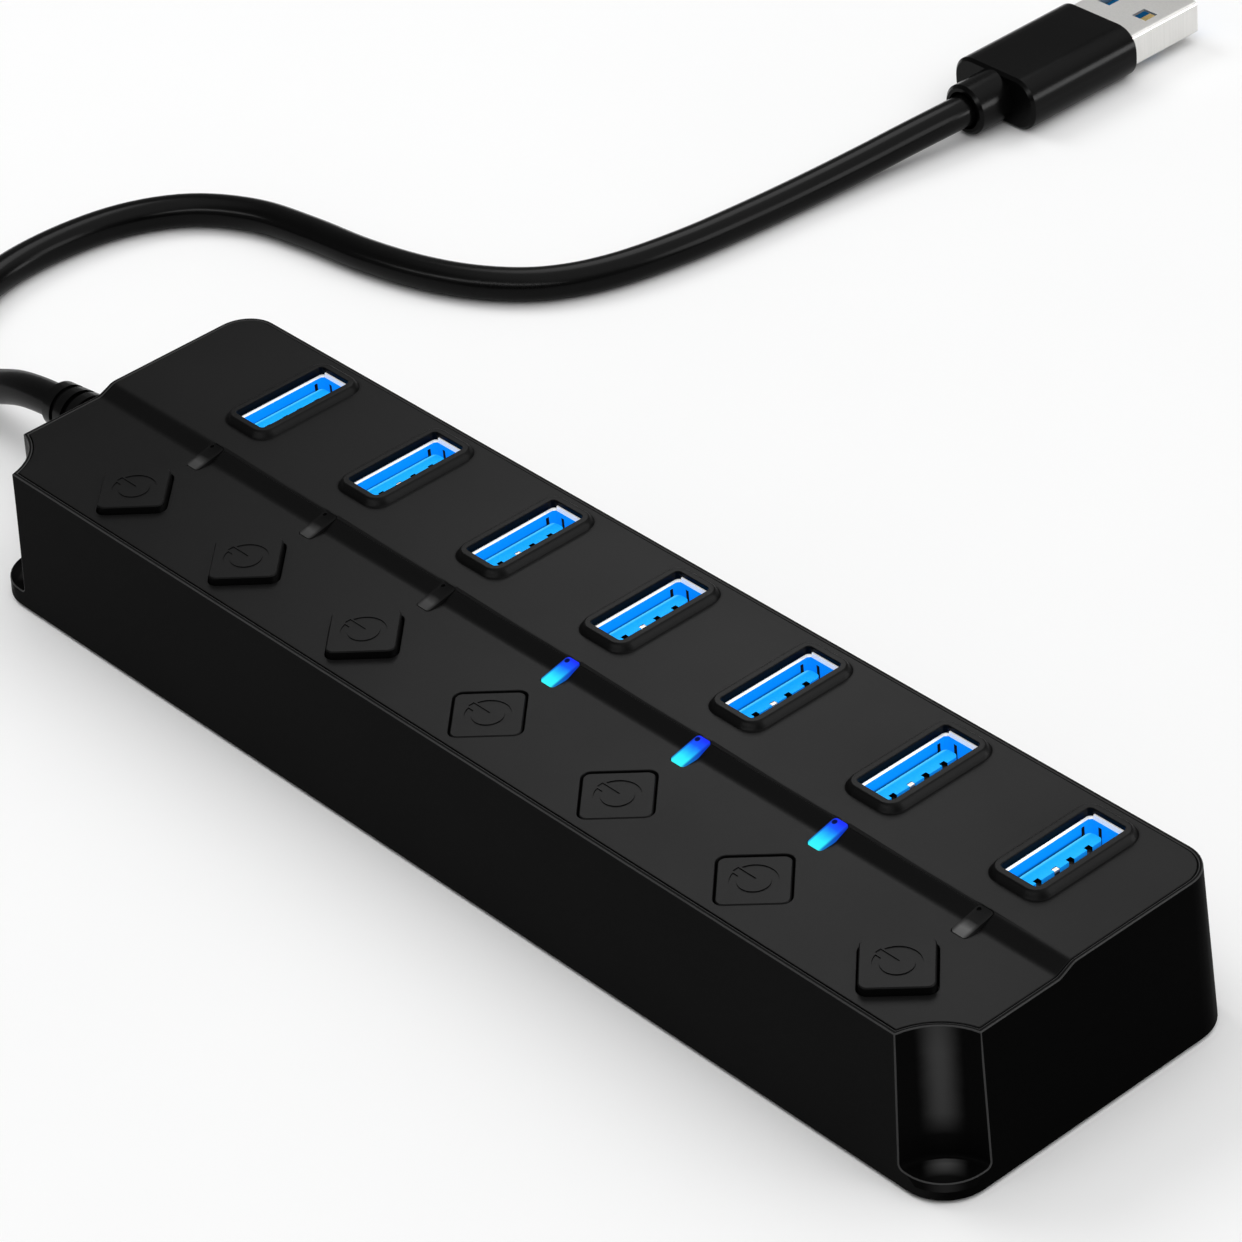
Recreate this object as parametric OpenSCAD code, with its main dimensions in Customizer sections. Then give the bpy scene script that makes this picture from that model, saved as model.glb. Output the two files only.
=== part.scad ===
// Seven-port hub with one latching switch per port, built as separate pieces, in millimetres.
// The origin is under the middle of the case, on the table. X runs along the hub, with the cord at the -X end.
// The sockets stand on the +Y side and the buttons on the -Y side.

/* [Sockets] */
// Distance from one socket to the next
pitch = 20; // [19.6:0.1:20.4]
// Distance of the sockets from the back edge of the case
socket_back = 10.1; // [9.9:0.05:10.4]
// Inner length of a socket shell
shell_l = 12.4; // [12.3:0.1:12.5]
// Inner width of a socket shell
shell_w = 5; // [4.9:0.1:5.1]
// Sheet thickness of a socket shell
shell_t = 0.3; // [0.25:0.05:0.3]
// Width of the tongue
tongue_l = 10.9; // [10.7:0.1:11.1]
// Thickness of the tongue
tongue_t = 1.84; // [1.7:0.02:1.9]

/* [Case] */
// Length of the case beyond the first socket, at the cord end
end_far = 20.4; // [19:0.1:22]
// Length of the case beyond the last socket
end_near = 13.3; // [12.5:0.1:14.5]
// Width of the case at its foot
body_w = 40.3; // [40:0.1:41.5]
// Height of the front deck above the underside of the case
front_h = 17.8; // [17.6:0.1:18.4]
// Rise from the front deck to the back deck
step_h = 0.9; // [0.6:0.1:1.1]
// Draft of the side walls, in degrees
draft = 3.4; // [2.6:0.2:3.8]
// Corner radius at the foot of the case
corner_r = 5.2; // [5:0.1:5.8]
// Thickness of the side walls
wall = 1.8; // [1.6:0.1:2]
// Thickness of the floor
floor_t = 1.8; // [1.6:0.1:2]
// Radius of the hollows in the two front corners
hollow_r = 7.5; // [7:0.1:7.8]
// Height of the ledge under each hollow
hollow_sill = 2.05; // [1.8:0.05:2.4]

/* [Cover] */
// Thickness of the cover plate
cover_t = 1.6; // [1.4:0.1:1.8]
// Width of the case rim around the cover
rim_w = 0.45; // [0.4:0.05:0.6]
// Gap between cover and rim
seam = 0.1; // [0.1:0.05:0.2]
// Wall of a socket collar at its top
collar_wall = 0.95; // [0.85:0.05:1.05]
// Height of a collar above the back deck
collar_h = 0.85; // [0.7:0.05:1]
// How far the opening of a collar stands back from the shell under it
mouth_room = 0.02; // [0:0.02:0.1]

/* [Buttons] */
// Side of a diamond button
button_side = 7.4; // [7:0.1:7.6]
// Distance of the buttons from the front edge of the case
button_front = 7.9; // [7.6:0.05:8.2]
// How far a released button stands above the front deck
rise = 0.9; // [0.7:0.1:1.1]
// How far a button goes below its latched place
overtravel = 0.4; // [0.3:0.1:0.5]
// Gap between a button and the edge of its hole
button_gap = 0.2; // [0.2:0.05:0.25]
// How far a button hangs towards the free front corner of its hole
button_off = 0.08; // [0:0.02:0.08]

/* [Lights] */
// Width of a light pipe
pipe_w = 2; // [1.8:0.1:2.2]
// Length of a light pipe
pipe_l = 4; // [3.6:0.1:4.2]
// Distance of the light pipes in front of the middle line
pipe_y = 2.85; // [2.7:0.05:3]
// Distance of a light pipe from the middle of its socket, along the hub
pipe_x = 0.5; // [0.3:0.1:0.7]

/* [Cord and plug] */
// Diameter of the cord
cord_d = 4.2; // [4:0.1:4.4]
// Width of the plug body
grip_w = 14.2; // [13.6:0.2:15]
// Thickness of the plug body
grip_t = 7.2; // [7:0.2:7.6]
// Length of the plug body
grip_l = 19; // [17:1:22]

/* [Hidden] */
$fn = 64;
// the feet lift the case this far off the table
foot_out = 0.4;
foot_t = 1;
foot_r = 4;
// the case is as long as its row of sockets and the two ends
body_l = 6 * pitch + end_far + end_near;
row_shift = (end_far - end_near) / 2;
half_l = body_l / 2;
half_w = body_w / 2;
socket_y = half_w - socket_back;
button_y = half_w - button_front;
foot_end = 10.85;
foot_side = 7.65;
foot_x = half_l - foot_end;
foot_y = half_w - foot_side;
slope = tan(draft);
z_front = foot_out + front_h;
z_back = z_front + step_h;
z_collar = z_back + collar_h;
z_floor = foot_out + floor_t;
// cuts and blanks reach this far, well past the case
tall = 2 * z_collar;
// the step is a flat slope between two equal arcs
step_front = -3.3;
step_back = -0.55;
step_angle = 24;
step_run = step_back - step_front;
step_r = (step_run * sin(step_angle) - step_h * cos(step_angle)) / (2 * (1 - cos(step_angle)));
// ends of the flat slope
step_foot = [step_front + step_r * sin(step_angle), z_front + step_r * (1 - cos(step_angle))];
step_top = [step_back - step_r * sin(step_angle), z_back - step_r * (1 - cos(step_angle))];
// sides of the case lean in by this much at the back deck
lean = slope * (z_back - foot_out);
cover_in = lean + rim_w + seam;
hollow_off = 0.6;
hollow_x = half_l + hollow_off;
hollow_y = -half_w - hollow_off;
hollow_fillet = 0.6;
// a hollow is narrower by this much at its ledge, so that its mould pin draws out
hollow_taper = 0.5;
hollow_h = front_h - hollow_sill;
board_t = 1.6;
post_h = 1.2;
z_board = z_floor + post_h + board_t;
// the board stops short of the leaning walls
board_room = 0.8;
board_l = body_l - 2 * wall - 2 * board_room;
board_w = body_w - 2 * wall - 2 * board_room;
// the mouth of a shell lies below the top of its collar
mouth_deep = 1.25;
tongue_deep = 2.3;
socket_deep = 12;
z_mouth = z_collar - mouth_deep;
z_tongue = z_collar - tongue_deep;
z_base = z_mouth - socket_deep;
shell_room = 0.15;
mouth_l = shell_l + 2 * mouth_room;
mouth_w = shell_w + 2 * mouth_room;
// the collar is wider by this much at its foot, and its top edge is bevelled
collar_flare = 0.4;
collar_edge = 0.2;
collar_r = 1.7;
collar_l = mouth_l + 2 * collar_wall;
collar_w = mouth_w + 2 * collar_wall;
// clear width behind the tongue
tongue_back = 0.66;
tongue_x = -shell_w / 2 + tongue_back + tongue_t / 2;
// contact rows: four long contacts, five short ones nearer the base
long_contacts = [-3.5, -1, 1, 3.5];
short_contacts = [-4.5, -2.25, 0, 2.25, 4.5];
contact_t = 0.45;
contact_w = 0.7;
// notch in the end of the tongue at each long contact
notch_in = 0.5;
notch_w = 0.7;
// the two end walls of a shell stand above its long walls
tab_h = 0.5;
tab_w = 4.1;
// bevel around the mouth of a shell, and room between shell and collar
mouth_bevel = 0.25;
lip_room = 0.2;
switch_side = 7;
switch_h = 7;
plunger_side = 3;
plunger_gap = 0.2;
// two ears under the cover hold a button at its left and right corners
ear_out = 0.7;
ear_w = 5;
button_edge = 0.12;
flange_side = button_side + 2 * ear_out;
flange_t = 1;
// a released button stops with its flange this far under the cover
flange_gap = 0.3;
z_flange = z_front - cover_t - flange_gap - rise - flange_t;
// depth of the plunger's seat in the button
seat_h = 1.6;
z_plunger = z_flange + seat_h;
// web under the plunger's well, and the room that is left above it at the end of the stroke
well_floor = 1;
well_room = 1.6;
z_plunger_foot = z_board + well_floor + well_room + overtravel;
released = [true, true, true, false, false, false, true];
screw_d = 2.3;
screw_head_d = 4.4;
screw_head_h = 1.1;
screw_seat = 1.2;
screw_end = 6.2;
screw_top = z_front - screw_end;
boss_d = 5.4;
screw_side = 5.55;
screw_y = half_w - screw_side;
screw_places = [[row_shift - 2.5 * pitch, -screw_y], [row_shift + 2.5 * pitch, -screw_y],
  [row_shift - 2.5 * pitch, screw_y], [row_shift + 2.5 * pitch, screw_y]];
rest_end = 6.85;
rest_x = half_l - rest_end;
rest_places = [[-rest_x, 0], [rest_x, 0], [row_shift - pitch / 2, -screw_y], [row_shift + pitch / 2, screw_y]];
chip_side = 9;
chip_t = 0.9;
crystal_l = 3.2;
crystal_w = 2.5;
can_d = 5;
can_h = 4.6;
can_base = 5.2;
can_front = 3.05;
lamp_l = 1.6;
lamp_h = 0.8;
exit_z = 10;
// the end wall is cut this deep for a flat seat around the cord
exit_seat = 0.95;
exit_out = exit_seat - half_l;
exit_in = exit_out + wall + 0.1;
// the cord ends this far inside
cord_in = 2;
exit_pad = 9.6;
exit_pad_t = 1.4;
neck_d = 6.2;
boot_d = 8.6;
boot_l = 13;
// the cord leaves the far end, comes down to the table, swings round and runs back to its plug
cord_route = [[-72, 0, 10], [-80, 0, 10], [-89, 0, 9.9], [-97, 0, 8.6], [-105, 0, 5.6], [-112.4, 1, 3.2],
  [-119.8, 4.4, 2.2], [-126, 10.6, 2.1], [-129.5, 18.8, 2.1], [-130.2, 28, 2.1], [-128.4, 37.2, 2.1],
  [-123.8, 44.4, 2.1], [-116.4, 49, 2.1], [-107.6, 50.9, 2.1], [-98.2, 52.1, 2.1], [-89.3, 54.3, 2.1],
  [-82, 57.7, 2.1], [-76.3, 62.5, 2.1], [-72.4, 69.4, 2.1], [-70, 79, 2.1], [-68.8, 89, 2.1], [-68, 98, 2.2],
  [-67.1, 107, 2.6], [-66.2, 114, 3.2], [-65.5, 120, 3.6], [-65.4, 126, 3.6], [-65.4, 134, 3.6]];
cord_sides = 12;
ring_steps = 2;
plug_x = -65.4;
plug_z = grip_t / 2;
boot_y = 122.9;
grip_y = 128.3;
plug_boot_d = 6.8;
// bevel around the end faces of the plug
grip_bevel = 0.4;
plug_shell_l = 12;
plug_shell_w = 12;
plug_shell_h = 4.5;
plug_sheet = 0.3;
// length of the metal nose inside the grip
plug_root = 5;
plug_contact_l = 12.6;

function socket_x(k) = (k - 4) * pitch + row_shift;
function lift(k) = released[k - 1] ? rise : 0;

// smooth curve through the route points
function at(p, i) = p[max(0, min(len(p) - 1, i))];
function curve(p, i, t) = 0.5 * (2 * at(p, i) + (at(p, i + 1) - at(p, i - 1)) * t
  + (2 * at(p, i - 1) - 5 * at(p, i) + 4 * at(p, i + 1) - at(p, i + 2)) * t * t
  + (3 * at(p, i) - at(p, i - 1) - 3 * at(p, i + 1) + at(p, i + 2)) * t * t * t);
function unit(v) = v / norm(v);
cord_line = [for (i = [0 : len(cord_route) - 2], s = [0 : ring_steps - 1]) curve(cord_route, i, s / ring_steps),
  cord_route[len(cord_route) - 1]];
function heading(i) = unit(cord_line[min(i + 1, len(cord_line) - 1)] - cord_line[max(i - 1, 0)]);
function side(i) = unit(cross(heading(i), [0, 0, 1]));

module round_rect(l, w, r) {
  square([l - 2 * r, w], center = true);
  square([l, w - 2 * r], center = true);
  for (x = [-1, 1], y = [-1, 1])
    translate([x * (l / 2 - r), y * (w / 2 - r)])
      circle(r = r);
}

module round_block(l, w, r, h) {
  linear_extrude(height = h)
    round_rect(l, w, r);
}

// block with round corners whose four sides lean in by the same amount over its height
module leaning_block(l, w, r, h, in) {
  for (x = [-1, 1], y = [-1, 1])
    translate([x * (l / 2 - r), y * (w / 2 - r), 0])
      cylinder(h = h, r1 = r, r2 = r - in);
  rotate([90, 0, 0])
    linear_extrude(height = w - 2 * r, center = true)
      polygon([[-l / 2, 0], [l / 2, 0], [l / 2 - in, h], [in - l / 2, h]]);
  rotate([90, 0, 90])
    linear_extrude(height = l - 2 * r, center = true)
      polygon([[-w / 2, 0], [w / 2, 0], [w / 2 - in, h], [in - w / 2, h]]);
}

// section of everything under the two decks, lowered by drop
module deck_section(drop) {
  translate([0, -drop]) {
    translate([-half_w - 4, -4])
      square([half_w + 4 + step_front, z_front + 4]);
    difference() {
      translate([step_front, -4])
        square([step_foot[0] - step_front, step_foot[1] + 4]);
      translate([step_front, z_front + step_r])
        circle(r = step_r);
    }
    polygon([[step_foot[0], -4], [step_top[0], -4], step_top, step_foot]);
    translate([step_top[0], -4])
      square([step_back - step_top[0], step_top[1] + 4]);
    intersection() {
      translate([step_back, z_back - step_r])
        circle(r = step_r);
      translate(step_top)
        square([step_back - step_top[0], z_back - step_top[1]]);
    }
    translate([step_back, -4])
      square([half_w + 4 - step_back, z_back + 4]);
  }
}

module under_deck(drop) {
  rotate([90, 0, 90])
    linear_extrude(height = body_l + tall, center = true)
      deck_section(drop);
}

// round column at each front corner, grown by more
module hollow_columns(more) {
  for (x = [-1, 1])
    translate([x * hollow_x, hollow_y, -1])
      cylinder(r = hollow_r + more, h = tall);
}

module hollows() {
  low = hollow_r - hollow_taper;
  for (x = [-1, 1])
    translate([x * hollow_x, hollow_y, foot_out + hollow_sill])
      rotate_extrude()
        polygon(concat([[0, 0]],
          [for (a = [0 : 15 : 90]) [low + hollow_fillet * (sin(a) - 1), hollow_fillet * (1 - cos(a))]],
          [[hollow_r, hollow_h], [hollow_r, tall], [0, tall]]));
}

// plan of the cover, grown by more, as a tall block
module cover_plan(more) {
  difference() {
    translate([0, 0, 1])
      round_block(body_l - 2 * cover_in + 2 * more, body_w - 2 * cover_in + 2 * more,
        corner_r - cover_in + more, tall);
    hollow_columns(rim_w + seam - more);
  }
}

module case() {
  color("#101011") {
    difference() {
      union() {
        difference() {
          intersection() {
            translate([0, 0, foot_out])
              leaning_block(body_l, body_w, corner_r, tall, tall * slope);
            under_deck(0);
          }
          difference() {
            translate([0, 0, z_floor])
              leaning_block(body_l - 2 * wall, body_w - 2 * wall, corner_r - wall, tall, tall * slope);
            hollow_columns(wall);
          }
          difference() {
            cover_plan(seam);
            under_deck(cover_t);
          }
          hollows();
        }
        for (p = concat(screw_places, rest_places))
          translate([p[0], p[1], foot_out + 1])
            cylinder(d = boss_d, h = z_board - board_t - foot_out - 1);
        translate([exit_in - exit_pad_t, 0, exit_z])
          rotate([0, 90, 0])
            cylinder(d = exit_pad, h = exit_pad_t);
      }
      for (p = screw_places)
        translate([p[0], p[1], -1]) {
          cylinder(d = screw_head_d + 0.6, h = 1 + foot_out + screw_seat);
          cylinder(d = screw_d + 0.4, h = z_board);
        }
      for (x = [-foot_x, foot_x], y = [-foot_y, foot_y])
        translate([x, y, -1])
          cylinder(r = foot_r, h = 1 + foot_t);
      translate([exit_in + 1, 0, exit_z])
        rotate([0, -90, 0])
          cylinder(d = neck_d, h = 10);
      translate([exit_out, 0, exit_z])
        rotate([0, -90, 0])
          cylinder(d = boot_d + 0.4, h = 10);
    }
  }
}

module diamond(side, r) {
  rotate(45)
    round_rect(side, side, r);
}

module pipe_plan(more) {
  translate([pipe_x, -pipe_y])
    round_rect(pipe_w + 2 * more, pipe_l + 2 * more, 0.4 + more);
}

// everything under the sloping top of a light pipe
module under_ramp() {
  rotate([90, 0, 90])
    linear_extrude(height = 2 * pitch, center = true)
      polygon([[-pipe_y - pipe_l / 2, 0], [pipe_l / 2 - pipe_y, 0],
        [pipe_l / 2 - pipe_y, z_back - 0.05], [-pipe_y - pipe_l / 2, z_front + 0.02]]);
}

module top_cover() {
  color("#2b2b2c") {
    difference() {
      union() {
        difference() {
          intersection() {
            cover_plan(0);
            under_deck(0);
          }
          under_deck(cover_t);
        }
        for (k = [1 : 7])
          translate([socket_x(k), socket_y, z_back])
            rotate(90) {
              translate([0, 0, -0.5])
                round_block(collar_l + 2 * collar_flare, collar_w + 2 * collar_flare, collar_r + collar_flare, 0.5);
              leaning_block(collar_l + 2 * collar_flare, collar_w + 2 * collar_flare, collar_r + collar_flare,
                collar_h - collar_edge, collar_flare);
              translate([0, 0, collar_h - collar_edge])
                leaning_block(collar_l, collar_w, collar_r, collar_edge, collar_edge);
            }
        for (p = screw_places)
          translate([p[0], p[1], z_board])
            cylinder(d = boss_d, h = z_front - 0.6 - z_board);
      }
      for (k = [1 : 7]) {
        translate([socket_x(k), socket_y, 0]) {
          rotate(90)
            round_block(mouth_l, mouth_w, 0.5, tall);
          rotate(90)
            round_block(shell_l + 2 * shell_t + 2 * shell_room, shell_w + 2 * shell_t + 2 * shell_room,
              0.6, z_mouth + lip_room);
          // room for the tall end walls of the shell
          for (y = [-1, 1])
            translate([-tab_w / 2 - shell_room, y * (shell_l / 2 + shell_t / 2) - shell_t / 2 - shell_room, z_board])
              cube([tab_w + 2 * shell_room, shell_t + 2 * shell_room, z_mouth + tab_h + 0.1 - z_board]);
        }
        translate([socket_x(k), -button_y, 0])
          linear_extrude(height = tall)
            diamond(button_side + 2 * button_gap, 0.9 + button_gap);
        translate([socket_x(k), 0, 0])
          linear_extrude(height = tall)
            pipe_plan(0.05);
      }
      for (p = screw_places)
        translate([p[0], p[1], 0])
          cylinder(d = screw_d, h = screw_top + 0.4);
    }
  }
}

module circuit_board() {
  color("#0d5a34") {
    difference() {
      translate([0, 0, z_board - board_t])
        round_block(board_l, board_w, 2, board_t);
      hollow_columns(wall + 0.4);
      for (p = screw_places)
        translate([p[0], p[1], 0])
          cylinder(d = screw_d + 0.4, h = z_front);
    }
  }
}

module socket_shell(k) {
  color("#d9dadb") {
    translate([socket_x(k), socket_y, 0]) {
      difference() {
        union() {
          difference() {
            translate([0, 0, z_board])
              rotate(90)
                round_block(shell_l + 2 * shell_t, shell_w + 2 * shell_t, 0.6, z_mouth - z_board);
            translate([0, 0, z_mouth])
              mirror([0, 0, 1])
                rotate(90)
                  leaning_block(shell_l + 2 * mouth_bevel, shell_w + 2 * mouth_bevel, 0.35 + mouth_bevel,
                    mouth_bevel, mouth_bevel);
          }
          for (y = [-1, 1])
            translate([-tab_w / 2, y * (shell_l / 2 + shell_t / 2) - shell_t / 2, z_board])
              cube([tab_w, shell_t, z_mouth + tab_h - z_board]);
        }
        translate([0, 0, z_board - 1])
          rotate(90)
            round_block(shell_l, shell_w, 0.35, tall);
        // cuts around the spring fingers of the long walls
        for (x = [-1, 1], y = [-1, 1])
          translate([x * (shell_w / 2 + shell_t / 2), y * 3.4, z_mouth - 7.2]) {
            cube([1, 3.7, 0.4], center = true);
            translate([0, y * 1.7, 3.2])
              cube([1, 0.3, 6.8], center = true);
            translate([0, -y * 1.7, 2.4])
              cube([1, 0.3, 5.2], center = true);
          }
        // and of the end walls
        for (x = [-1.2, 1.2], y = [-1, 1])
          translate([x, y * (shell_l / 2 + shell_t / 2), z_mouth - 2.3])
            cube([0.25, 1, 3.2], center = true);
      }
    }
  }
}

module socket_insulator(k) {
  color("#1f9df0") {
    translate([socket_x(k), socket_y, 0]) {
      difference() {
        union() {
          translate([0, 0, z_board])
            rotate(90)
              round_block(shell_l, shell_w, 0.35, z_base - z_board);
          translate([tongue_x, 0, z_base - 0.5])
            round_block(tongue_t, tongue_l, 0.6, z_tongue - z_base + 0.5);
        }
        contact_holes();
      }
    }
  }
}

// room for the contacts in the face of the tongue and down through the base
module contact_holes() {
  for (y = long_contacts)
    translate([tongue_x + tongue_t / 2 - contact_t, y - contact_w / 2, z_board - 1])
      cube([contact_t + 0.1, contact_w, z_tongue - z_board + 2]);
  for (y = long_contacts)
    translate([tongue_x + tongue_t / 2 - notch_in, y - notch_w / 2, z_tongue - 1.6])
      cube([2, notch_w, 3]);
  for (y = short_contacts)
    translate([tongue_x + tongue_t / 2 + 0.5, y - contact_w / 2, z_board - 1])
      cube([contact_t, contact_w, z_base + 1 - z_board + 1]);
}

module socket_contacts() {
  color("#e2bc62") {
    for (k = [1 : 7])
      translate([socket_x(k), socket_y, 0]) {
        for (y = long_contacts)
          translate([tongue_x + tongue_t / 2 - contact_t, y - contact_w / 2, z_board])
            cube([contact_t, contact_w, z_tongue - (y == -1 ? 0.05 : 0.5) - z_board]);
        for (y = short_contacts)
          translate([tongue_x + tongue_t / 2 + 0.5, y - contact_w / 2, z_board])
            cube([contact_t, contact_w, z_base + 2.6 - z_board]);
      }
  }
}

// power sign: open ring and a bar, drawn with the given stroke
module power_sign(stroke) {
  difference() {
    circle(r = 2.1 + stroke / 2);
    circle(r = 2.1 - stroke / 2);
    translate([-3, -0.95 + stroke / 2])
      square([3, 1.9 - stroke]);
  }
  translate([-2.3 - stroke / 2, -stroke / 2])
    square([1.9 + stroke, stroke]);
}

module button(k) {
  color("#2b2b2c") {
    translate([socket_x(k) + button_off, -button_y - button_off, lift(k)]) {
      difference() {
        union() {
          translate([0, 0, z_flange])
            linear_extrude(height = flange_t)
              intersection() {
                diamond(flange_side, 1.4);
                square([2 * flange_side, ear_w], center = true);
              }
          translate([0, 0, z_flange])
            linear_extrude(height = z_front - button_edge - z_flange)
              diamond(button_side, 0.9);
          translate([0, 0, z_front - button_edge])
            rotate(45)
              leaning_block(button_side, button_side, 0.9, button_edge, button_edge);
        }
        translate([-plunger_side / 2, -plunger_side / 2, z_flange - 1])
          cube([plunger_side, plunger_side, z_plunger - z_flange + 1]);
        translate([0, 0, z_front - 0.1])
          linear_extrude(height = 1)
            power_sign(0.75);
      }
    }
  }
}

module switch_plunger(k) {
  color("#e8e6df") {
    translate([socket_x(k) + button_off, -button_y - button_off, lift(k)]) {
      translate([-plunger_side / 2, -plunger_side / 2, z_plunger_foot])
        cube([plunger_side, plunger_side, z_plunger - z_plunger_foot]);
    }
  }
}

module switch_bodies() {
  color("#1a1a1b") {
    for (k = [1 : 7])
      translate([socket_x(k), -button_y, z_board]) {
        difference() {
          translate([-switch_side / 2, -switch_side / 2, 0])
            cube([switch_side, switch_side, switch_h]);
          translate([-plunger_side / 2 - plunger_gap, -plunger_side / 2 - plunger_gap, well_floor])
            cube([plunger_side + 2 * plunger_gap, plunger_side + 2 * plunger_gap, switch_h]);
        }
      }
  }
}

module light_pipe(k) {
  color(released[k - 1] ? "#7d7d7d" : "#2fb4ff") {
    translate([socket_x(k), 0, 0]) {
      difference() {
        intersection() {
          translate([0, 0, z_board + lamp_h])
            linear_extrude(height = tall)
              pipe_plan(0);
          under_ramp();
        }
        // small round mark at the high end
        translate([pipe_x - 0.6, pipe_l / 2 - pipe_y - 0.5, z_back - 0.4])
          cylinder(d = 0.5, h = 1, $fn = 16);
      }
      translate([0, 0, z_front - cover_t - 1.2])
        linear_extrude(height = 1.2)
          pipe_plan(0.6);
    }
  }
}

module indicator_lamps() {
  color("#f2f0e8") {
    for (k = [1 : 7])
      translate([socket_x(k) + pipe_x - lamp_l / 2, -pipe_y - 0.5, z_board])
        cube([lamp_l, 1, lamp_h]);
  }
}

module hub_controllers() {
  color("#161616") {
    for (k = [2, 5])
      translate([socket_x(k) + pitch / 2 - chip_side / 2, -pipe_y - chip_side / 2, z_board])
        cube([chip_side, chip_side, chip_t]);
  }
}

module crystals() {
  color("#c9cacc") {
    for (k = [2, 5])
      translate([socket_x(k) - pitch / 2 - crystal_l / 2, -pipe_y - crystal_w / 2, z_board])
        cube([crystal_l, crystal_w, 0.8]);
  }
}

module capacitors() {
  color("#b9bcc0") {
    for (k = [1 : 7])
      translate([socket_x(k) - pitch / 2, socket_y - can_front, z_board]) {
        translate([-can_base / 2, -can_base / 2, 0])
          cube([can_base, can_base, 0.8]);
        translate([0, 0, 0.8])
          cylinder(d = can_d, h = can_h);
      }
  }
}

module housing_screws() {
  color("#3a3a3c") {
    for (p = screw_places)
      translate([p[0], p[1], 0]) {
        difference() {
          translate([0, 0, foot_out + screw_seat - screw_head_h])
            cylinder(d = screw_head_d, h = screw_head_h);
          translate([0, 0, foot_out + screw_seat - screw_head_h - 0.1]) {
            translate([-1.2, -0.25, 0])
              cube([2.4, 0.5, 0.7]);
            translate([-0.25, -1.2, 0])
              cube([0.5, 2.4, 0.7]);
          }
        }
        translate([0, 0, foot_out + screw_seat - 0.2])
          cylinder(d = screw_d, h = screw_top - foot_out - screw_seat + 0.2);
      }
  }
}

module rubber_feet() {
  color("#242424") {
    for (x = [-foot_x, foot_x], y = [-foot_y, foot_y])
      translate([x, y, 0])
        cylinder(r = foot_r, h = foot_t);
  }
}

module strain_relief() {
  color("#161617") {
    translate([exit_in, 0, exit_z])
      rotate([0, -90, 0])
        difference() {
          union() {
            translate([0, 0, -1.2])
              cylinder(d = neck_d + 2, h = 1.2);
            cylinder(d = neck_d, h = exit_in - exit_out);
            translate([0, 0, exit_in - exit_out]) {
              cylinder(d = boot_d, h = 2.5);
              cylinder(d1 = 8, d2 = 5.6, h = boot_l);
            }
          }
          translate([0, 0, -5])
            cylinder(d = cord_d, h = 40);
          translate([0, 0, exit_in - exit_out + boot_l - 5])
            cylinder(d1 = cord_d, d2 = cord_d + 1, h = 5.01);
          for (i = [0 : 3])
            translate([0, 0, exit_in - exit_out + 4 + 2.2 * i])
              difference() {
                cylinder(d = 12, h = 0.8);
                translate([0, 0, -1])
                  cylinder(d = 5.4, h = 3);
              }
        }
  }
}

module lead_wires() {
  color("#b03a30") {
    for (i = [-2 : 2])
      translate([exit_in + cord_in, i * 0.8, exit_z]) {
        rotate([0, 90, 0])
          cylinder(d = 0.7, h = 3);
        translate([3, 0, 0])
          sphere(d = 0.7);
        translate([3, 0, z_board - exit_z])
          cylinder(d = 0.7, h = exit_z - z_board);
      }
  }
}

module cord() {
  n = len(cord_line);
  color("#151516") {
    polyhedron(
      points = [for (i = [0 : n - 1], j = [0 : cord_sides - 1])
        cord_line[i] + cord_d / 2 * (cos(360 * j / cord_sides) * side(i)
          + sin(360 * j / cord_sides) * cross(side(i), heading(i)))],
      faces = concat(
        [[for (j = [cord_sides - 1 : -1 : 0]) j]],
        [[for (j = [0 : cord_sides - 1]) (n - 1) * cord_sides + j]],
        [for (i = [0 : n - 2], j = [0 : cord_sides - 1])
          [i * cord_sides + j, (i + 1) * cord_sides + (j + 1) % cord_sides, (i + 1) * cord_sides + j]],
        [for (i = [0 : n - 2], j = [0 : cord_sides - 1])
          [i * cord_sides + j, i * cord_sides + (j + 1) % cord_sides, (i + 1) * cord_sides + (j + 1) % cord_sides]]));
  }
}

module plug_grip() {
  color("#141415") {
    difference() {
      union() {
        translate([plug_x, grip_y + grip_bevel, plug_z])
          rotate([-90, 0, 0]) {
            round_block(grip_w, grip_t, grip_t / 2 - 0.4, grip_l - 2 * grip_bevel);
            translate([0, 0, grip_l - 2 * grip_bevel])
              leaning_block(grip_w, grip_t, grip_t / 2 - 0.4, grip_bevel, grip_bevel);
            mirror([0, 0, 1])
              leaning_block(grip_w, grip_t, grip_t / 2 - 0.4, grip_bevel, grip_bevel);
          }
        translate([plug_x, boot_y, plug_z])
          rotate([-90, 0, 0]) {
            cylinder(d1 = plug_boot_d - 2 * grip_bevel, d2 = plug_boot_d, h = grip_bevel);
            translate([0, 0, grip_bevel])
              cylinder(d = plug_boot_d, h = grip_y - boot_y);
          }
      }
      translate([plug_x, boot_y - 1, plug_z])
        rotate([-90, 0, 0])
          cylinder(d = cord_d, h = cord_route[len(cord_route) - 1][1] - boot_y + 1);
      translate([plug_x, boot_y - 0.01, plug_z])
        rotate([-90, 0, 0])
          cylinder(d1 = cord_d + 0.9, d2 = cord_d, h = 4);
      translate([plug_x, grip_y + grip_l - plug_root, plug_z])
        rotate([-90, 0, 0])
          round_block(plug_shell_w, plug_shell_h, 0.5, plug_root + 1);
    }
  }
}

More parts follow.
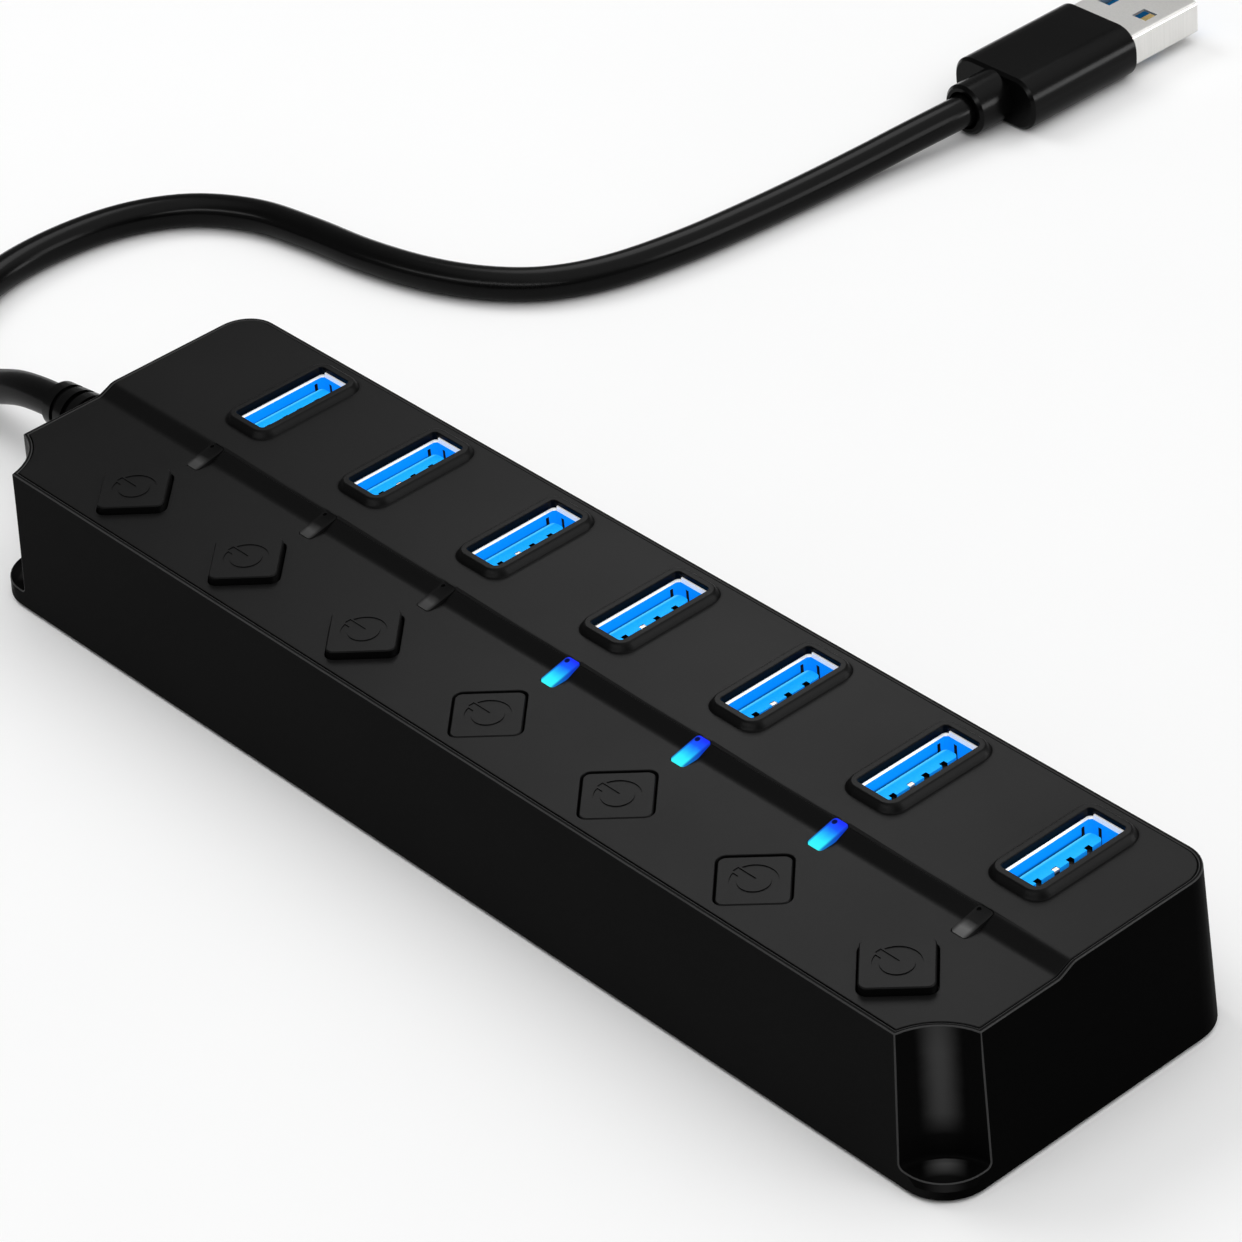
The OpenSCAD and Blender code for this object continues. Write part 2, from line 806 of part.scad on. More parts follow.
module plug_shell() {
  color("#d4d5d7") {
    translate([plug_x, grip_y + grip_l - plug_root, plug_z])
      rotate([-90, 0, 0])
        difference() {
          round_block(plug_shell_w, plug_shell_h, 0.5, plug_shell_l + plug_root);
          translate([0, 0, -1])
            round_block(plug_shell_w - 2 * plug_sheet, plug_shell_h - 2 * plug_sheet, 0.2, plug_shell_l + 10);
          for (x = [-3.2, 3.2])
            translate([x, 0, plug_root + 5.2])
              cube([2.4, 20, 2.2], center = true);
        }
  }
}

module plug_insulator() {
  color("#1f9df0") {
    translate([plug_x, grip_y + grip_l - plug_root, plug_z - plug_shell_h / 2 + plug_sheet])
      difference() {
        translate([-plug_shell_w / 2 + plug_sheet + 0.15, 0, 0])
          cube([plug_shell_w - 2 * plug_sheet - 0.3, plug_shell_l + 4.5, 1.9]);
        for (x = long_contacts)
          translate([x - 0.5, 3, 1.7])
            cube([1, plug_contact_l, 1]);
      }
  }
}

module plug_contacts() {
  color("#e2bc62") {
    for (x = long_contacts)
      translate([plug_x + x - 0.5, grip_y + grip_l - 2, plug_z - plug_shell_h / 2 + plug_sheet + 1.7])
        cube([1, plug_contact_l, 0.2]);
  }
}

case();
top_cover();
circuit_board();
socket_shell(1);  // socket_shell_1
socket_shell(2);  // socket_shell_2
socket_shell(3);  // socket_shell_3
socket_shell(4);  // socket_shell_4
socket_shell(5);  // socket_shell_5
socket_shell(6);  // socket_shell_6
socket_shell(7);  // socket_shell_7
socket_insulator(1);  // socket_insulator_1
socket_insulator(2);  // socket_insulator_2
socket_insulator(3);  // socket_insulator_3
socket_insulator(4);  // socket_insulator_4
socket_insulator(5);  // socket_insulator_5
socket_insulator(6);  // socket_insulator_6
socket_insulator(7);  // socket_insulator_7
socket_contacts();
button(1);  // button_1
button(2);  // button_2
button(3);  // button_3
button(4);  // button_4
button(5);  // button_5
button(6);  // button_6
button(7);  // button_7
switch_plunger(1);  // switch_plunger_1
switch_plunger(2);  // switch_plunger_2
switch_plunger(3);  // switch_plunger_3
switch_plunger(4);  // switch_plunger_4
switch_plunger(5);  // switch_plunger_5
switch_plunger(6);  // switch_plunger_6
switch_plunger(7);  // switch_plunger_7
switch_bodies();
light_pipe(1);  // light_pipe_1
light_pipe(2);  // light_pipe_2
light_pipe(3);  // light_pipe_3
light_pipe(4);  // light_pipe_4
light_pipe(5);  // light_pipe_5
light_pipe(6);  // light_pipe_6
light_pipe(7);  // light_pipe_7
indicator_lamps();
hub_controllers();
crystals();
capacitors();
housing_screws();
rubber_feet();
strain_relief();
lead_wires();
cord();
plug_grip();
plug_shell();
plug_insulator();
plug_contacts();
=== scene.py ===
# %% [markdown]
# # A seven-socket hub, dressed in Blender
# The CAD model already holds every piece of the hub at its true size and place.
# This lesson loads that model as a fixed frame and gives each piece the surface
# that it has on the real object: moulded black plastic, nickel-plated shells,
# blue socket tongues, lit and unlit light pipes and a soft black cord.

# %% Load the frame
import math

import bpy
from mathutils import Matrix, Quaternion, Vector


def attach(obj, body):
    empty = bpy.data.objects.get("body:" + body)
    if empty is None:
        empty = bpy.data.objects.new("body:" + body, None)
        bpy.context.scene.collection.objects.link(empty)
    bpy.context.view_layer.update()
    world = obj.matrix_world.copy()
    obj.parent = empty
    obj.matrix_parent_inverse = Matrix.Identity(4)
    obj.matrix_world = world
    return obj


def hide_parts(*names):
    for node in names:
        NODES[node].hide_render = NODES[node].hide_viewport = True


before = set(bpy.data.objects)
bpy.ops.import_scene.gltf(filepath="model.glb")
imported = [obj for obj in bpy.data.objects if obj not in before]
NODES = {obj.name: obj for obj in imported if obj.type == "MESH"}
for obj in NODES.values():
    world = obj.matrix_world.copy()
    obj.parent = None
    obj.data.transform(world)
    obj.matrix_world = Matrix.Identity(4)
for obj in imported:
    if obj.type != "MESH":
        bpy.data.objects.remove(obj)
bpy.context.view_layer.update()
print("pieces from the CAD model:", len(NODES))

# %% [markdown]
# ## The camera
# The photograph was taken with a long lens from above the free end, over the side
# with the buttons. A long lens keeps the far sockets nearly as big as the near ones.
# The camera could be turned by hand until it looks right. Here its place was worked
# out from the row of sockets, whose spacing is known.

# %% Camera
EYE = Vector((0.33889, -0.25717, 0.32116))
AIM = Vector((-0.0076, 0.01485, 0.0100))
ROLL = math.radians(-5.806)
camera = bpy.data.objects.new("camera", bpy.data.cameras.new("camera"))
camera.data.sensor_width = 36.0
camera.data.lens = 146.286
camera.data.clip_start, camera.data.clip_end = 0.01, 20.0
camera.location = EYE
camera.rotation_mode = "QUATERNION"
camera.rotation_quaternion = (AIM - EYE).to_track_quat("-Z", "Y") @ Quaternion((0, 0, 1), ROLL)
bpy.context.collection.objects.link(camera)
bpy.context.scene.camera = camera
print("camera distance, mm:", round((AIM - EYE).length * 1000))

# %% [markdown]
# ## The cord
# The cord is one round jacket that leaves the far end, drops to the table, swings round
# and runs back to its plug. A swept mesh would do, but a curve with a round bevel stays
# easy to change and is perfectly smooth. Its points are those of the CAD route, with the
# same spline between them, so it lies exactly where the solid lies.

# %% Cord
# the route's points are in mm, the diameter in metres
ROUTE = [(-72, 0, 10), (-80, 0, 10), (-89, 0, 9.9), (-97, 0, 8.6), (-105, 0, 5.6), (-112.4, 1, 3.2),
         (-119.8, 4.4, 2.2), (-126, 10.6, 2.1), (-129.5, 18.8, 2.1), (-130.2, 28, 2.1), (-128.4, 37.2, 2.1),
         (-123.8, 44.4, 2.1), (-116.4, 49, 2.1), (-107.6, 50.9, 2.1), (-98.2, 52.1, 2.1), (-89.3, 54.3, 2.1),
         (-82, 57.7, 2.1), (-76.3, 62.5, 2.1), (-72.4, 69.4, 2.1), (-70, 79, 2.1), (-68.8, 89, 2.1),
         (-68, 98, 2.2), (-67.1, 107, 2.6), (-66.2, 114, 3.2), (-65.5, 120, 3.6), (-65.4, 126, 3.6),
         (-65.4, 134, 3.6)]
CORD_D = 0.0042


def along(route, steps):
    """Points on a smooth line through the route, in metres."""
    p = [Vector(q) / 1000 for q in route]
    p = [p[0]] + p + [p[-1]]
    line = []
    for a, b, c, d in zip(p, p[1:], p[2:], p[3:]):
        for s in range(steps):
            t = s / steps
            line.append(0.5 * (2 * b + (c - a) * t + (2 * a - 5 * b + 4 * c - d) * t * t
                               + (3 * b - a - 3 * c + d) * t ** 3))
    return line + [p[-1]]


line = along(ROUTE, 6)
shape = bpy.data.curves.new("cord_jacket", "CURVE")
shape.dimensions = "3D"
# the bevel is 1 m deep, and each point's radius scales it down to the cord's own
shape.bevel_depth = 1.0
shape.bevel_resolution = 7
shape.use_fill_caps = True
spline = shape.splines.new("POLY")
spline.points.add(len(line) - 1)
for point, place in zip(spline.points, line):
    point.co = (*place, 1)
    point.radius = CORD_D / 2
cord = bpy.data.objects.new("cord_jacket", shape)
bpy.context.collection.objects.link(cord)
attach(cord, "hub")
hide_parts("cord")

# %% [markdown]
# ## Helpers for materials
# Colours are easiest to write as the hex values of a picture, but Blender mixes light in
# linear numbers, so `shade` turns the first into the second. `add` puts one node into a
# material, sets it up and links it. The other functions start a material, end it with its
# shader, set the stops of a colour ramp, and write a range in millimetres. Settings
# that many nodes share have a name.

# %% Helpers
MM = 0.001
SOFT = {"interpolation_type": "SMOOTHSTEP"}
TIMES = {"operation": "MULTIPLY"}
TIMES_PLUS = {"operation": "MULTIPLY_ADD"}
MINUS = {"operation": "SUBTRACT"}
SIZE_OF = {"operation": "ABSOLUTE"}
COLOURS = {"data_type": "RGBA"}
# a mix node has sockets of one name for each type of data, so those for colours go by number:
# the first colour, the one that is laid over it, and the result
BELOW, ABOVE, MIXED = 6, 7, 2


def shade(hex_colour):
    """sRGB hex to linear colour."""
    parts = [int(hex_colour[i:i + 2], 16) / 255 for i in (1, 3, 5)]
    return tuple(c / 12.92 if c <= 0.04045 else ((c + 0.055) / 1.055) ** 2.4 for c in parts) + (1.0,)


def add(home, kind, settings=(), inputs=()):
    """Adds a node to a material or a group; an input is a value, or the output that it is linked to."""
    tree = getattr(home, "node_tree", home)
    made = tree.nodes.new(kind)
    for name, value in dict(settings).items():
        setattr(made, name, value)
    for name, value in dict(inputs).items():
        if isinstance(value, bpy.types.NodeSocket):
            tree.links.new(value, made.inputs[name])
        else:
            made.inputs[name].default_value = value
    return made


def new_material(name):
    """An empty material, and the place on the part that its patterns start from."""
    material = bpy.data.materials.new(name)
    material.use_nodes = True
    material.node_tree.nodes.clear()
    return material, add(material, "ShaderNodeTexCoord").outputs["Object"]


def surface(material, **inputs):
    """The shader and the output, with spaces in the socket names written as _."""
    sockets = {name.replace("_", " "): value for name, value in inputs.items()}
    shader = add(material, "ShaderNodeBsdfPrincipled", {}, sockets)
    add(material, "ShaderNodeOutputMaterial", {}, {"Surface": shader.outputs[0]})
    return material


def set_stops(ramp, stops):
    """Gives a colour ramp its stops, each a place from 0 to 1 and a linear colour."""
    elements = ramp.color_ramp.elements
    for at, _ in stops[1:-1]:
        elements.new(at)
    for element, (at, colour) in zip(elements, stops):
        element.position, element.color = at, colour


def span(start, end):
    """The range of a value in millimetres, for a node that maps it to 0 to 1."""
    return {"From Min": start * MM, "From Max": end * MM}


print("black of the case, linear:", [round(c, 4) for c in shade("#131313")[:3]])

# %% [markdown]
# ## Places on the part
# Seven sockets stand in one row, so a finish is drawn once, for one socket, and is the same
# at all of them. For that, a few nodes turn a place on the part into a place seen from the
# nearest socket. Others give the way that a face looks.

# %% Places on the part
PORTS = range(1, 8)
MIDDLE_PORT = 4
# the sockets' spacing, where the middle one stands along the part, and where the row runs, in mm
PITCH, ROW_SHIFT, SOCKET_Y = 20.0, 3.55, 10.05


def from_socket(m, place):
    """A place as seen from the middle of the nearest socket, flat on the deck."""
    xyz = add(m, "ShaderNodeSeparateXYZ", {}, {"Vector": place})
    row = add(m, "ShaderNodeMath", MINUS, {0: xyz.outputs["X"], 1: ROW_SHIFT * MM})
    count = add(m, "ShaderNodeMath", {"operation": "DIVIDE"}, {0: row.outputs[0], 1: PITCH * MM})
    nearest = add(m, "ShaderNodeMath", {"operation": "ROUND"}, {0: count.outputs[0]})
    k = add(m, "ShaderNodeClamp", {}, {"Value": nearest.outputs[0], "Min": PORTS[0] - MIDDLE_PORT,
                                       "Max": PORTS[-1] - MIDDLE_PORT})
    x = add(m, "ShaderNodeMath", TIMES_PLUS, {0: k.outputs[0], 1: -PITCH * MM, 2: row.outputs[0]})
    y = add(m, "ShaderNodeMath", MINUS, {0: xyz.outputs["Y"], 1: SOCKET_Y * MM})
    return x.outputs[0], y.outputs[0], xyz.outputs["Z"]


def height(home, place):
    """How high a place is."""
    return add(home, "ShaderNodeSeparateXYZ", {}, {"Vector": place}).outputs["Z"]


def facing(m):
    """The way a face looks, as X, Y and Z."""
    normal = add(m, "ShaderNodeNewGeometry").outputs["Normal"]
    return add(m, "ShaderNodeSeparateXYZ", {}, {"Vector": normal}).outputs


print("sockets:", len(PORTS), "spacing, mm:", PITCH)

# %% [markdown]
# ## Painted shade on the black plastic
# The same plastic is not equally dark all over in this light, and that shade is painted into its colour. The
# ends of the case are painted darker than its long sides, faces that lean towards the buttons are painted
# darker, as they look into the dark side of the studio, and each raised collar stands in a painted dark
# outline. These are soft changes, so they are laid into the colour by place and by the way a face looks.

# %% Painted shade on the black plastic
# how far a face is turned, along X and along Y, where the painted shade starts and where it is full
END_TURN, SLOPE_TURN = (0.25, 0.85), (-0.02, -0.44)
# a collar's outer edge runs 1.5 mm outside a plain rectangle, given by half its width and length
CORE_X, CORE_Y, COLLAR = 1.77, 5.47, 1.5
# how far from that rectangle, and at which height, the foot and the far edges get painted shade
FOOT_REACH, FOOT_Z = (2.5, 2.15), (19.6, 19.15)
EDGE_REACH, EDGE_Z, EDGE_DEPTH = (1.1, 1.4), (19.5, 19.9), 0.6
# the share of the way to the collar's far sides at which the painted dark edge starts and is full
FAR_START, FAR_FULL = 0.85, 0.97


def painted_end_shade(m, place, colour):
    """The ends get painted shade, and the change runs softly round the corners."""
    endwise = add(m, "ShaderNodeMath", SIZE_OF, {0: facing(m)["X"]})
    share = add(m, "ShaderNodeMapRange", SOFT, {"Value": endwise.outputs[0], "From Min": END_TURN[0],
                                                "From Max": END_TURN[1]})
    ends = {"Factor": share.outputs[0], BELOW: colour, ABOVE: shade("#050505")}
    return add(m, "ShaderNodeMix", COLOURS, ends).outputs[MIXED]


def painted_slope_shade(m, place, colour):
    """Faces that lean towards the buttons get painted shade."""
    share = add(m, "ShaderNodeMapRange", SOFT, {"Value": facing(m)["Y"], "From Min": SLOPE_TURN[0],
                                                "From Max": SLOPE_TURN[1]})
    slopes = {"Factor": share.outputs[0], BELOW: colour, ABOVE: shade("#090909")}
    return add(m, "ShaderNodeMix", COLOURS, slopes).outputs[MIXED]


def painted_collar_shade(m, place, colour):
    """Each collar gets a painted shadow at its foot and a painted dark line along its far edges."""
    x, y, z = from_socket(m, place)
    spot = add(m, "ShaderNodeCombineXYZ", {}, {"X": x, "Y": y}).outputs[0]
    corner = add(m, "ShaderNodeVectorMath", SIZE_OF, {0: spot})
    past = add(m, "ShaderNodeVectorMath", MINUS, {0: corner.outputs[0], 1: (CORE_X * MM, CORE_Y * MM, 0)})
    outside = add(m, "ShaderNodeVectorMath", {"operation": "MAXIMUM"}, {0: past.outputs[0], 1: (0, 0, 0)})
    reach = add(m, "ShaderNodeVectorMath", {"operation": "LENGTH"}, {0: outside.outputs[0]}).outputs["Value"]
    close = add(m, "ShaderNodeMapRange", SOFT, {"Value": reach, **span(*FOOT_REACH)})
    low = add(m, "ShaderNodeMapRange", SOFT, {"Value": z, **span(*FOOT_Z)})
    foot = add(m, "ShaderNodeMath", TIMES, {0: close.outputs[0], 1: low.outputs[0]})
    to_sides = (-1 / (CORE_X + COLLAR) / MM, 1 / (CORE_Y + COLLAR) / MM, 0)
    share = add(m, "ShaderNodeVectorMath", TIMES, {0: spot, 1: to_sides})
    sides = add(m, "ShaderNodeSeparateXYZ", {}, {"Vector": share.outputs[0]}).outputs
    farther = add(m, "ShaderNodeMath", {"operation": "MAXIMUM"}, {0: sides["X"], 1: sides["Y"]})
    far = add(m, "ShaderNodeMapRange", SOFT, {"Value": farther.outputs[0], "From Min": FAR_START,
                                              "From Max": FAR_FULL})
    rim = add(m, "ShaderNodeMapRange", SOFT, {"Value": reach, **span(*EDGE_REACH)})
    high = add(m, "ShaderNodeMapRange", SOFT, {"Value": z, **span(*EDGE_Z)})
    edge = add(m, "ShaderNodeMath", TIMES, {0: rim.outputs[0], 1: high.outputs[0]})
    far_edge = add(m, "ShaderNodeMath", TIMES, {0: edge.outputs[0], 1: far.outputs[0]})
    both = add(m, "ShaderNodeMath", TIMES_PLUS, {0: far_edge.outputs[0], 1: EDGE_DEPTH, 2: foot.outputs[0]})
    lines = {"Factor": both.outputs[0], BELOW: painted_slope_shade(m, place, colour), ABOVE: shade("#030303")}
    return add(m, "ShaderNodeMix", COLOURS, lines).outputs[MIXED]


print("half a collar, mm:", CORE_X + COLLAR, CORE_Y + COLLAR)

# %% [markdown]
# ## Moulded plastic
# Case, cover and buttons are moulded in black ABS. The mould is spark-eroded, which
# leaves a grain of about 0.1 mm and a dull skin. The grain is too fine to show at this
# size, so it is drawn about four times as coarse, and shallow. A slow cloud in colour
# and gloss stands for the flow of the melt and for handling.

# %% Moulded plastic
CLOUD_MM, GRAIN_SHARE, GRAIN_STRENGTH = 18.0, 0.5, 0.35
# the values of cloud and grain together that give the two tones, and the two ends of the gloss
TONES_AT, GLOSS_AT, GLOSS_SWING = (0.45, 1.0), (0.4, 1.1), 0.05


def moulded(name, dark, light, rough, specular, grain_mm=0.4, grain_depth=0.012, glow=0.0, shade_paint=None):
    """Plastic with cloud and grain; a given function paints light and shade into its colour from place to
    place, and a glow, where given, is painted light.
    """
    m, place = new_material(name)
    cloud = add(m, "ShaderNodeTexNoise", {}, {"Vector": place, "Scale": 1 / (CLOUD_MM * MM), "Detail": 3.0})
    grain = add(m, "ShaderNodeTexNoise", {}, {"Vector": place, "Scale": 1 / (grain_mm * MM), "Detail": 2.0})
    both = add(m, "ShaderNodeMath", TIMES_PLUS,
               {0: grain.outputs["Fac"], 1: GRAIN_SHARE, 2: cloud.outputs["Fac"]})
    tone = add(m, "ShaderNodeValToRGB", {}, {"Fac": both.outputs[0]})
    set_stops(tone, list(zip(TONES_AT, (shade(dark), shade(light)))))
    colour = tone.outputs["Color"]
    if shade_paint:
        colour = shade_paint(m, place, colour)
    dull = add(m, "ShaderNodeMapRange", {}, {"Value": both.outputs[0], "From Min": GLOSS_AT[0],
                                             "From Max": GLOSS_AT[1], "To Min": rough - GLOSS_SWING,
                                             "To Max": rough + GLOSS_SWING})
    bump = add(m, "ShaderNodeBump", {}, {"Height": grain.outputs["Fac"], "Strength": GRAIN_STRENGTH,
                                         "Distance": grain_depth * MM})
    return surface(m, Base_Color=colour, Roughness=dull.outputs[0], Normal=bump.outputs[0], IOR=1.53,
                   Specular_IOR_Level=specular, Emission_Color=colour, Emission_Strength=glow)


# the case's ends, the cover's collars and slopes, and the buttons' slopes carry painted shade
case_abs = moulded("abs_black_case", "#131313", "#161616", 0.45, 0.004, shade_paint=painted_end_shade)
# the bevels of the case: glossier, and lighter in colour, which is a painted highlight
edge_highlight_abs = moulded("abs_black_edges_painted_highlight", "#343434", "#3c3c3c", 0.35, 0.05)
cover_abs = moulded("abs_black_cover", "#111111", "#151515", 0.38, 0.05, shade_paint=painted_collar_shade)
button_abs = moulded("abs_black_buttons", "#111111", "#151515", 0.38, 0.05, shade_paint=painted_slope_shade)
print("plastics:", [m.name for m in (case_abs, edge_highlight_abs, cover_abs, button_abs)])

# %% [markdown]
# ## The hollows and their painted reflection
# The hollows in the two corners beside the buttons are drawn off a polished pin. Such a hollow
# mirrors the studio as one soft upright streak down its middle, with black on both sides and a
# black band above the ledge. A mirror of real lamps would need a studio around the part, so the
# streak is laid into the colour, by the distance from the hollow's middle and by the height.
# The ledge gets a soft bright spot in the same way, by the distance from the pin's axis.

# %% Hollows with a painted reflection
HOLLOW_AXIS = (77.45 * MM, -20.75 * MM, 0)
DIAGONAL = (0.707, 0.707, 0)
LEDGE_Z, LEDGE_NEAR = 2.45, 0.06
# the distances from the hollow's middle where the streak ends and where it is full, and its smears
STREAK, SMEAR_MM, SMEAR_SHIFT = (2.5, 0.2), 2.0, 0.3
POLISH = (0.2, 0.3)
# brightness of the painted reflection by the height on the wall, and on the ledge by the distance from the
# axis, in mm
WALL_LEVELS = [(0.4, 0.14), (2.2, 0.17), (2.5, 0.0), (5.2, 0.02), (7.8, 0.5), (15.0, 0.56), (18.4, 0.42)]
LEDGE_LEVELS = [(2.5, 0.0), (4.3, 0.05), (5.2, 0.6), (6.0, 1.0), (6.7, 0.6), (7.2, 0.05), (7.5, 0.0)]
# the sockets for plain numbers of a mix node
LESS, MORE = 2, 3


def grey_levels(m, value, levels):
    """Grey levels over a range of a value in millimetres."""
    low, high = levels[0][0], levels[-1][0]
    share = add(m, "ShaderNodeMapRange", {}, {"Value": value, **span(low, high)})
    ramp = add(m, "ShaderNodeValToRGB", {}, {"Fac": share.outputs[0]})
    set_stops(ramp, [((at - low) / (high - low), (level, level, level, 1)) for at, level in levels])
    return ramp.outputs["Color"]


def from_pin(home, place):
    """The flat way from the axis of the nearer pin to a place."""
    xyz = add(home, "ShaderNodeSeparateXYZ", {}, {"Vector": place})
    across = add(home, "ShaderNodeMath", SIZE_OF, {0: xyz.outputs["X"]})
    flat = add(home, "ShaderNodeCombineXYZ", {}, {"X": across.outputs[0], "Y": xyz.outputs["Y"]})
    return add(home, "ShaderNodeVectorMath", MINUS, {0: flat.outputs[0], 1: HOLLOW_AXIS}).outputs[0]


def pin_distance(home, place):
    """How far a place is from the axis of the nearer pin."""
    spoke = from_pin(home, place)
    return add(home, "ShaderNodeVectorMath", {"operation": "LENGTH"}, {0: spoke}).outputs["Value"]


def painted_reflection_hollow():
    """Polished ABS with a painted reflection: the streak down the wall and the spot on the ledge."""
    m, place = new_material("abs_black_painted_reflection")
    z = height(m, place)
    sideways = add(m, "ShaderNodeVectorMath", {"operation": "DOT_PRODUCT"},
                   {0: from_pin(m, place), 1: DIAGONAL})
    aside = add(m, "ShaderNodeMath", SIZE_OF, {0: sideways.outputs["Value"]})
    smear = add(m, "ShaderNodeTexNoise", {}, {"Vector": place, "Scale": 1 / (SMEAR_MM * MM), "Detail": 3.0})
    uneven = add(m, "ShaderNodeMath", TIMES_PLUS,
                 {0: smear.outputs["Fac"], 1: SMEAR_SHIFT * MM, 2: aside.outputs[0]})
    streak = add(m, "ShaderNodeMapRange", SOFT, {"Value": uneven.outputs[0], **span(*STREAK)})
    on_ledge = add(m, "ShaderNodeMath", {"operation": "COMPARE"}, {0: z, 1: LEDGE_Z * MM, 2: LEDGE_NEAR * MM})
    level = add(m, "ShaderNodeMix", {}, {"Factor": on_ledge.outputs[0], LESS: grey_levels(m, z, WALL_LEVELS),
                                         MORE: grey_levels(m, pin_distance(m, place), LEDGE_LEVELS)})
    both = add(m, "ShaderNodeMath", TIMES, {0: streak.outputs[0], 1: level.outputs[0]})
    tone = add(m, "ShaderNodeMix", COLOURS, {"Factor": both.outputs[0], BELOW: shade("#080808"),
                                             ABOVE: shade("#505050")})
    dull = add(m, "ShaderNodeMapRange", {}, {"Value": smear.outputs["Fac"], "To Min": POLISH[0],
                                             "To Max": POLISH[1]})
    return surface(m, Base_Color=tone.outputs[MIXED], Roughness=dull.outputs[0], IOR=1.53,
                   Specular_IOR_Level=0.004)


# the hollows carry a painted reflection
pin_abs = painted_reflection_hollow()
print("hollows:", pin_abs.name)

# %% [markdown]
# ## Finding faces
# Three small node groups work on top of the frame, without a change to it. One makes all but
# the sharp edges smooth. One gives the hollows their material with the painted reflection, by the distance
# from the pin's axis. The last keeps the painted highlight of the edges off the foot of the case, which
# stands in shadow.

# %% Finding faces
SHARP = math.radians(32)
# how far the hollows reach from the pin's axis, and how high the dull foot is, in mm
HOLLOW_REACH, FOOT_HIGH = 7.6, 1.5


def group_of_faces(name):
    """A new group with a shape going in and one coming out."""
    group = bpy.data.node_groups.new(name, "GeometryNodeTree")
    group.interface.new_socket("Geometry", in_out="INPUT", socket_type="NodeSocketGeometry")
    group.interface.new_socket("Geometry", in_out="OUTPUT", socket_type="NodeSocketGeometry")
    return group, add(group, "NodeGroupInput").outputs[0]


def smooth_by_angle():
    """A group that shades all faces smooth and keeps the sharp edges."""
    group, shape = group_of_faces("smooth_by_angle")
    faces = add(group, "GeometryNodeSetShadeSmooth", {}, {"Geometry": shape})
    angle = add(group, "GeometryNodeInputMeshEdgeAngle").outputs["Unsigned Angle"]
    wide = add(group, "FunctionNodeCompare", {"operation": "LESS_THAN"}, {"A": angle, "B": SHARP})
    edges = add(group, "GeometryNodeSetShadeSmooth", {"domain": "EDGE"},
                {"Geometry": faces.outputs[0], "Shade Smooth": wide.outputs[0]})
    add(group, "NodeGroupOutput", {}, {0: edges.outputs[0]})
    return group


def finish_where(name, measure, most, material):
    """A group that gives a material to the faces whose measure is below the most, in mm."""
    group, shape = group_of_faces(name)
    measured = measure(group, add(group, "GeometryNodeInputPosition").outputs[0])
    below = add(group, "FunctionNodeCompare", {"operation": "LESS_THAN"}, {"A": measured, "B": most * MM})
    painted = add(group, "GeometryNodeSetMaterial", {},
                  {"Geometry": shape, "Selection": below.outputs[0], "Material": material})
    add(group, "NodeGroupOutput", {}, {0: painted.outputs[0]})
    return group


smooth_faces = smooth_by_angle()
painted_reflection_corners = finish_where("painted_reflection_corners", pin_distance, HOLLOW_REACH, pin_abs)
dull_foot = finish_where("dull_foot", height, FOOT_HIGH, case_abs)
print("groups:", [g.name for g in (smooth_faces, painted_reflection_corners, dull_foot)])

# %% [markdown]
# ## Rounded edges
# No moulded edge is knife sharp: tools are cut with a small radius, and that radius
# catches a thin line of light. The CAD solids have true corners, so the case and the cover get
# a bevel here, on top of the frame and without a change to it. On the case the bevel's
# faces take a smoother, glossier plastic of their own, and their lighter colour is a painted highlight.

# %% Rounded edges
CASE_RADIUS, COVER_RADIUS = 0.12, 0.1
# points closer than this, in mm, are joined, and faces that differ by less than this angle are one
JOIN, SAME_FACE = 0.02, math.radians(0.5)


def flatten(piece):
    """Joins the triangles of the frame into flat faces."""
    piece.modifiers.new("join_points", "WELD").merge_threshold = JOIN * MM
    flat = piece.modifiers.new("flat_faces", "DECIMATE")
    flat.decimate_type = "DISSOLVE"
    flat.angle_limit = SAME_FACE


def round_edges(piece, width_mm, slot=-1):
    """Bevels the sharp edges; a slot of 0 or more gives the bevel that material of the piece."""
    bevel = piece.modifiers.new("round_edges", "BEVEL")
    bevel.width = width_mm * MM
    bevel.segments = 3
    bevel.limit_method = "ANGLE"
    bevel.angle_limit = SHARP
    bevel.material = slot
    # one very short edge would otherwise hold back the bevel of the whole piece
    bevel.use_clamp_overlap = False


def smooth(piece):
    """Shades a piece smooth between its sharp edges."""
    piece.modifiers.new("smooth", "NODES").node_group = smooth_faces
    piece.modifiers.new("even_shading", "WEIGHTED_NORMAL").keep_sharp = True


def finish_with(material, *names):
    """Gives a material to pieces of the frame."""
    for name in names:
        NODES[name].material_slots[0].material = material


buttons = [f"button_{k}" for k in PORTS]
case, cover = NODES["case"], NODES["top_cover"]
finish_with(case_abs, "case")
finish_with(cover_abs, "top_cover")
finish_with(button_abs, *buttons)
for finish in (edge_highlight_abs, pin_abs):
    case.data.materials.append(finish)
flatten(case)
case.modifiers.new("painted_reflection_corners", "NODES").node_group = painted_reflection_corners
round_edges(case, CASE_RADIUS, slot=1)
case.modifiers.new("dull_foot", "NODES").node_group = dull_foot
smooth(case)
flatten(cover)
round_edges(cover, COVER_RADIUS)
smooth(cover)
for name in buttons:
    flatten(NODES[name])
    smooth(NODES[name])
print("pieces with smooth faces:", sum(bool(o.modifiers) for o in NODES.values()))

# %% [markdown]
# ## Nickel, gold and zinc
# Shells, contacts and screws are plated. Plating is bright, but the rolled or drawn metal under
# it has fine lines that spread its mirror a little. The lines are drawn as noise that is
# stretched along Z.

# %% Metals
# repeats of the lines per metre along Z, how much gloss varies, and how dark the lines are
ALONG, ROLL_SWING, LINE_TONE = 60.0, 0.07, 0.85
# how strong the lines are as a relief, and how deep in mm
LINE_STRENGTH, LINE_DEPTH = 0.1, 0.01


